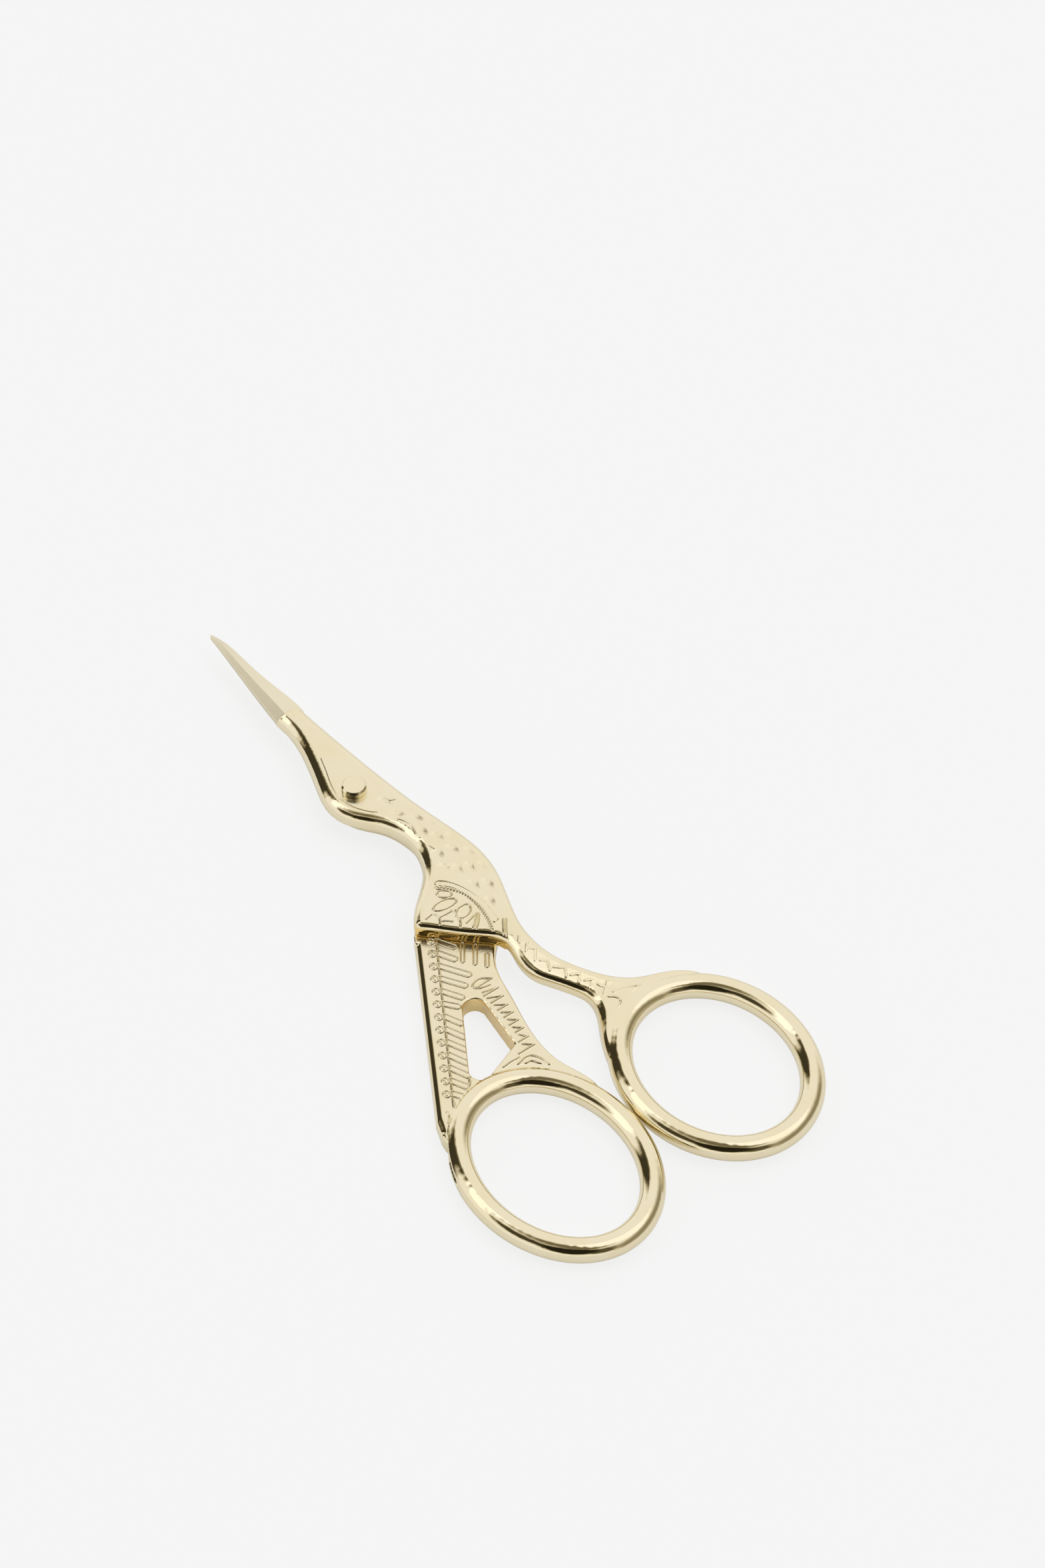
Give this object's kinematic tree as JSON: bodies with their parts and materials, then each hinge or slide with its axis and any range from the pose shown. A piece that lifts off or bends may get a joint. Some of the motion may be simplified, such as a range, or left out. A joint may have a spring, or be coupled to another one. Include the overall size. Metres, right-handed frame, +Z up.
{
  "type": "embroidery scissors",
  "caption": "Small embroidery scissors shaped as a stork: the beak is the blades and the legs end in finger bows.",
  "frame": {"origin": "on the table, under the middle of the closed scissors' box", "axes": "+X to the tips, +Y to the lower half's bow, +Z up from the table"},
  "size_m": [0.0934, 0.0422, 0.0051],
  "materials": {
    "cast_gold": "satin gold plating with polished edges",
    "blade_steel": "satin, pale gold wash",
    "rivet_gold": "polished"
  },
  "bodies": {
    "lower_half": {"lower_handle": "cast_gold", "lower_blade": "blade_steel", "pivot_rivet": "rivet_gold"},
    "upper_half": {"upper_handle": "cast_gold", "upper_blade": "blade_steel"}
  },
  "joints": [
    {"name": "pivot_hinge", "type": "hinge", "parent": "lower_half", "child": "upper_half", "pos_m": [0.01778, 0.00008, 0.00243], "axis": [0, 0, 1], "range_deg": [0, 60]}
  ]
}
